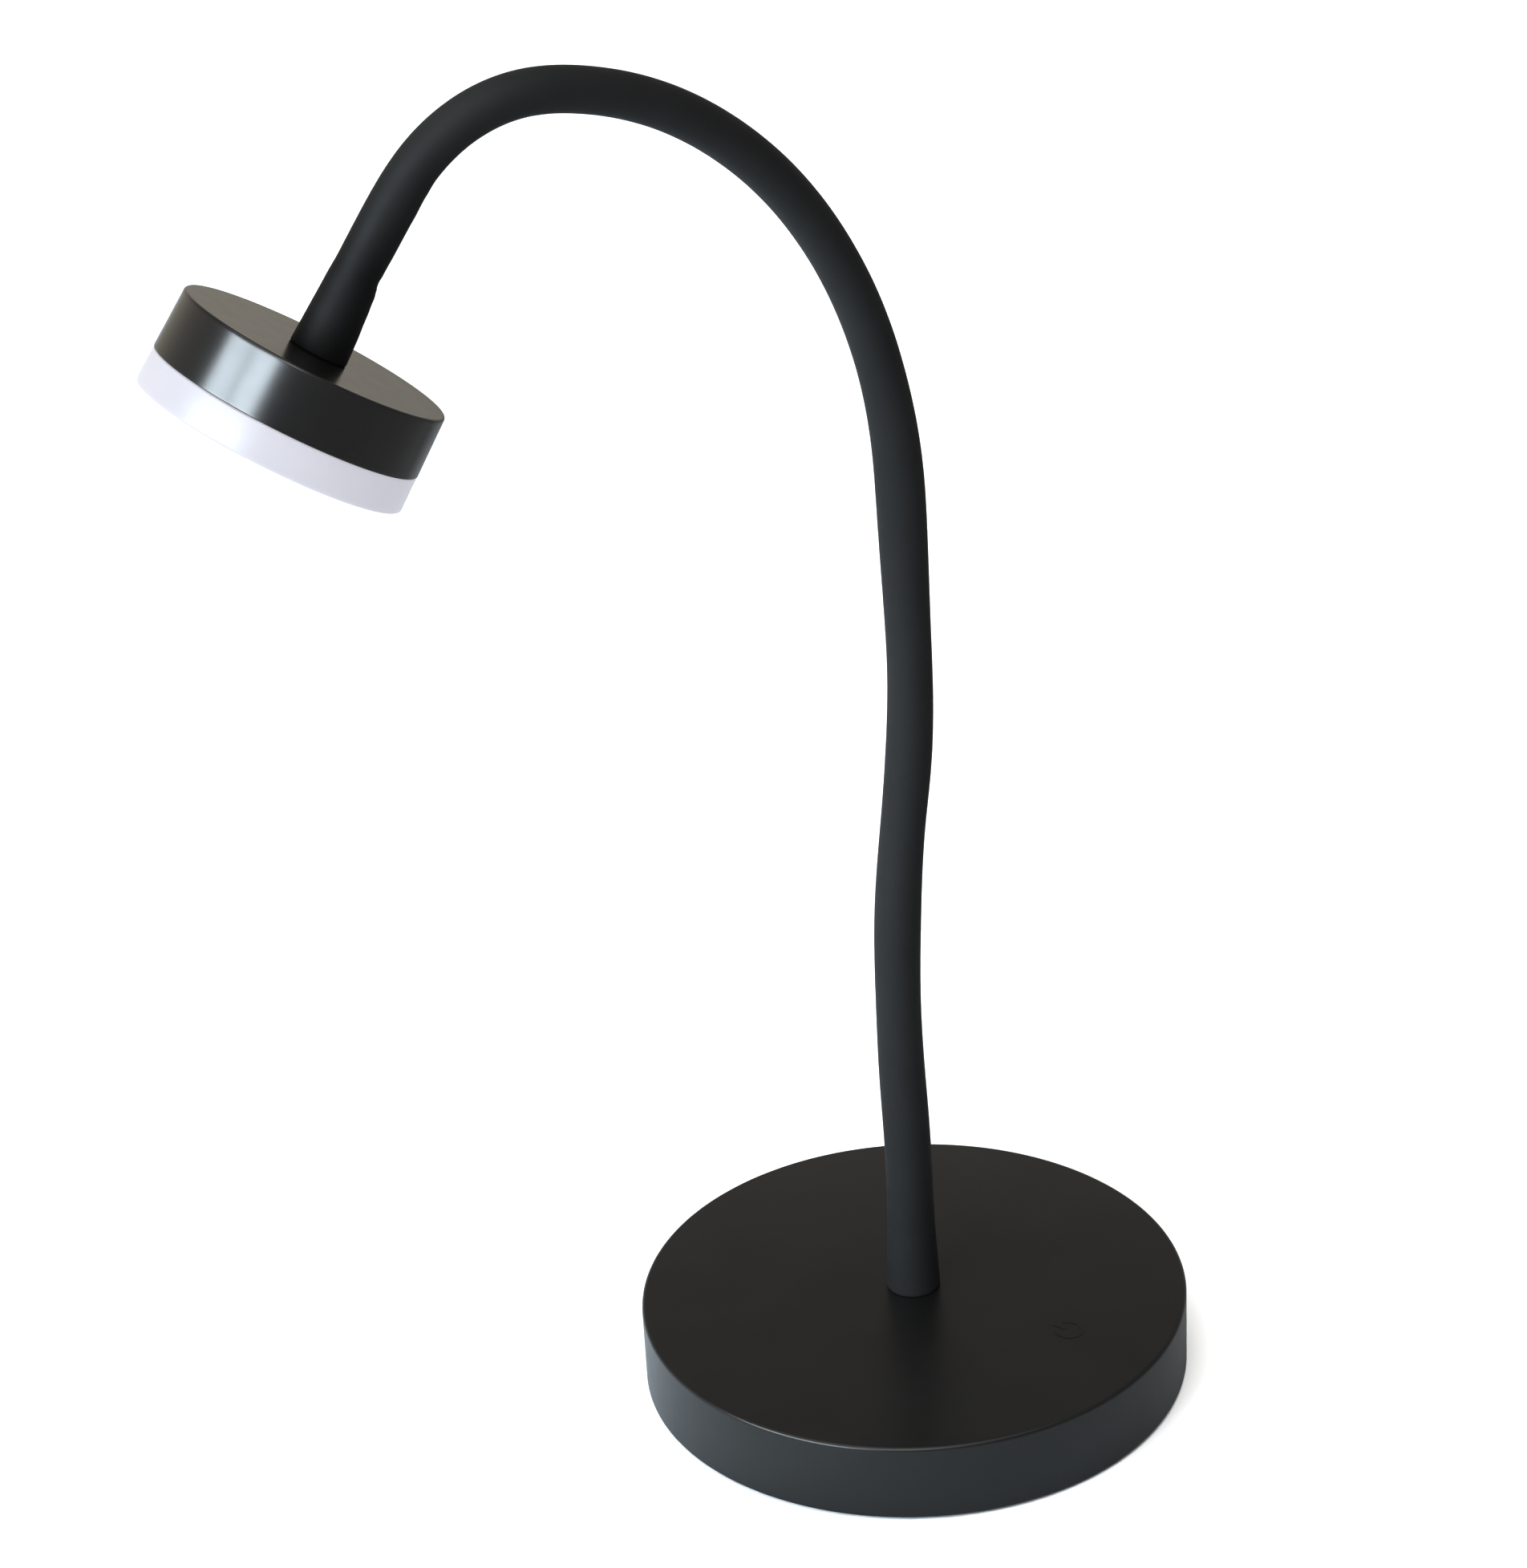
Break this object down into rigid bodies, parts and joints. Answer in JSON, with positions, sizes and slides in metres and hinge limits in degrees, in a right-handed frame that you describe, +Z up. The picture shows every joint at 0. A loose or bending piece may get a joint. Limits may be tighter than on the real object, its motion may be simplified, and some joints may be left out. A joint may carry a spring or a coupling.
{
  "type": "gooseneck desk lamp",
  "caption": "Small desk lamp with a weighted round base, a sleeved flexible gooseneck and a round downward LED head behind a frosted diffuser.",
  "frame": {"origin": "centre of the foot pad's underside, which rests on the desk", "axes": "+Z up; the neck bends in the XZ plane and carries the head towards -X; +Y completes the right hand"},
  "size_m": [0.2994, 0.16, 0.4527],
  "materials": {
    "housing_black": "moulded ABS, near black, fine satin texture",
    "sleeve_silicone": "matt black silicone tube with a soft sheen",
    "core_steel": "wound steel gooseneck, oiled",
    "lead_jacket": "white two-core lead",
    "head_black": "satin black anodised, turned",
    "diffuser_frosted": "frosted milk-white acrylic",
    "pad_rubber": "matt black foam rubber",
    "zinc_steel": "zinc-plated",
    "fitting_steel": "bright turned steel",
    "weight_iron": "raw grey casting",
    "board_green": "green solder mask",
    "component_black": "moulded component bodies",
    "battery_wrap": "silver laminate pouch",
    "tape_foam": "white adhesive foam",
    "socket_steel": "nickel-plated stamped shell",
    "sensor_film": "amber polyimide film",
    "led_board_white": "aluminium-core board with white mask",
    "led_chips": "yellow phosphor in white frames",
    "reflector_white": "white moulded cone"
  },
  "bodies": {
    "base": {"base_ferrule": "fitting_steel", "base_nut": "zinc_steel", "base_plate": "zinc_steel", "base_shell": "housing_black", "base_washer": "zinc_steel", "base_weight": "weight_iron", "battery": "battery_wrap", "battery_tape": "tape_foam", "board_parts": "component_black", "board_screws": "zinc_steel", "board_spacers": "zinc_steel", "case_screws": "zinc_steel", "charging_socket": "socket_steel", "control_board": "board_green", "foot_pad": "pad_rubber", "neck_core_00": "core_steel", "neck_lead_00": "lead_jacket", "neck_sleeve_00": "sleeve_silicone", "roof_brace": "zinc_steel", "touch_sensor": "sensor_film", "weight_screws": "zinc_steel"},
    "link_01": {"neck_core_01": "core_steel", "neck_lead_01": "lead_jacket", "neck_sleeve_01": "sleeve_silicone"},
    "link_02": {"neck_core_02": "core_steel", "neck_lead_02": "lead_jacket", "neck_sleeve_02": "sleeve_silicone"},
    "link_03": {"neck_core_03": "core_steel", "neck_lead_03": "lead_jacket", "neck_sleeve_03": "sleeve_silicone"},
    "link_04": {"neck_core_04": "core_steel", "neck_lead_04": "lead_jacket", "neck_sleeve_04": "sleeve_silicone"},
    "link_05": {"neck_core_05": "core_steel", "neck_lead_05": "lead_jacket", "neck_sleeve_05": "sleeve_silicone"},
    "link_06": {"neck_core_06": "core_steel", "neck_lead_06": "lead_jacket", "neck_sleeve_06": "sleeve_silicone"},
    "link_07": {"neck_core_07": "core_steel", "neck_lead_07": "lead_jacket", "neck_sleeve_07": "sleeve_silicone"},
    "link_08": {"neck_core_08": "core_steel", "neck_lead_08": "lead_jacket", "neck_sleeve_08": "sleeve_silicone"},
    "link_09": {"neck_core_09": "core_steel", "neck_lead_09": "lead_jacket", "neck_sleeve_09": "sleeve_silicone"},
    "head": {"diffuser": "diffuser_frosted", "head_ferrule": "fitting_steel", "head_nut": "zinc_steel", "head_shell": "head_black", "head_washer": "zinc_steel", "led_board": "led_board_white", "led_board_screws": "zinc_steel", "leds": "led_chips", "neck_core_10": "core_steel", "neck_lead_10": "lead_jacket", "neck_sleeve_10": "sleeve_silicone", "reflector": "reflector_white"}
  },
  "joints": [
    {"name": "neck_bend_01", "type": "hinge", "parent": "base", "child": "link_01", "pos_m": [-0.00063, 0, 0.09099], "axis": [0, -1, 0], "range_deg": [-30, 30]},
    {"name": "neck_swing_02", "type": "hinge", "parent": "link_01", "child": "link_02", "pos_m": [-0.00116, 0, 0.14097], "axis": [0.9996, 0, -0.0297], "range_deg": [-30, 30]},
    {"name": "neck_bend_03", "type": "hinge", "parent": "link_02", "child": "link_03", "pos_m": [0.00333, 0, 0.19074], "axis": [0, -1, 0], "range_deg": [-30, 30]},
    {"name": "neck_swing_04", "type": "hinge", "parent": "link_03", "child": "link_04", "pos_m": [0.00668, 0, 0.24057], "axis": [0.9999, 0, 0.0157], "range_deg": [-30, 30]},
    {"name": "neck_bend_05", "type": "hinge", "parent": "link_04", "child": "link_05", "pos_m": [0.00581, 0, 0.29056], "axis": [0, -1, 0], "range_deg": [-30, 30]},
    {"name": "neck_swing_06", "type": "hinge", "parent": "link_05", "child": "link_06", "pos_m": [-0.00139, 0, 0.33991], "axis": [0.9636, 0, 0.2672], "range_deg": [-30, 30]},
    {"name": "neck_bend_07", "type": "hinge", "parent": "link_06", "child": "link_07", "pos_m": [-0.02134, 0, 0.38558], "axis": [0, -1, 0], "range_deg": [-30, 30]},
    {"name": "neck_swing_08", "type": "hinge", "parent": "link_07", "child": "link_08", "pos_m": [-0.05428, 0, 0.42287], "axis": [0.6266, 0, 0.7793], "range_deg": [-30, 30]},
    {"name": "neck_bend_09", "type": "hinge", "parent": "link_08", "child": "link_09", "pos_m": [-0.09875, 0, 0.44485], "axis": [0, -1, 0], "range_deg": [-30, 12]},
    {"name": "neck_swing_10", "type": "hinge", "parent": "link_09", "child": "head", "pos_m": [-0.1435, 0, 0.42948], "axis": [-0.7848, 0, 0.6198], "range_deg": [-30, 30]}
  ]
}
